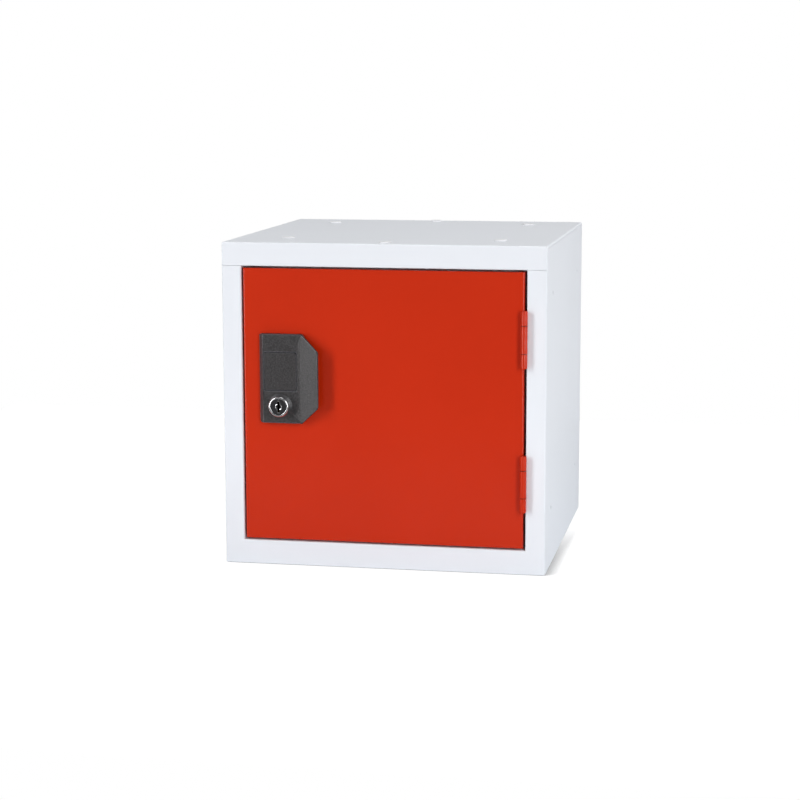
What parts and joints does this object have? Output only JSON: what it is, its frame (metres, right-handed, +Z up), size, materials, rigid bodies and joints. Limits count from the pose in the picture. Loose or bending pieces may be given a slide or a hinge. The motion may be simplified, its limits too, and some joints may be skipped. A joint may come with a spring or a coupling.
{
  "type": "cube locker",
  "caption": "Small steel cube locker with a red hinged door, a moulded finger pull with a cam lock, and capped fixing holes for stacking.",
  "frame": {"origin": "centre of the underside of the base, on the surface that the locker stands on", "axes": "+X to the right seen from the front, +Y towards the back, +Z up"},
  "size_m": [0.305, 0.3185, 0.3064],
  "materials": {
    "white_enamel": "smooth semi-gloss white powder coat",
    "red_enamel": "smooth semi-gloss red powder coat",
    "black_plastic": "fine-grained matt black moulding",
    "white_plastic": "smooth white moulding",
    "black_rubber": "matt",
    "bright_chrome": "bright plating",
    "dark_plug": "satin nickel",
    "plated_steel": "zinc plated",
    "brass_wafer": "stamped"
  },
  "bodies": {
    "carcass": {"folded_shell": "white_enamel", "top_panel": "white_enamel", "base_panel": "white_enamel", "back_panel": "white_enamel", "top_hole_caps": "white_plastic", "door_buffers": "black_rubber", "upper_hinge_frame_leaf": "red_enamel", "lower_hinge_frame_leaf": "red_enamel", "upper_hinge_pin": "red_enamel", "lower_hinge_pin": "red_enamel", "hinge_rivets": "plated_steel"},
    "door": {"door_skin": "red_enamel", "upper_hinge_door_leaf": "red_enamel", "lower_hinge_door_leaf": "red_enamel", "lock_housing": "black_plastic", "number_plate": "black_plastic", "housing_screws": "plated_steel", "lock_shell": "bright_chrome", "lock_washer": "plated_steel", "lock_nut": "plated_steel"},
    "lock_cylinder": {"lock_plug": "dark_plug", "lock_wafers": "brass_wafer", "lock_cam": "plated_steel", "cam_washer": "plated_steel", "cam_screw": "plated_steel"}
  },
  "joints": [
    {"name": "door_swing", "type": "hinge", "parent": "carcass", "child": "door", "pos_m": [0.1322, -0.1559, 0.15275], "axis": [0, 0, 1], "range_deg": [0, 180]},
    {"name": "lock_turn", "type": "hinge", "parent": "door", "child": "lock_cylinder", "pos_m": [-0.0962, -0.1315, 0.153], "axis": [0, 1, 0], "range_deg": [0, 90]}
  ]
}
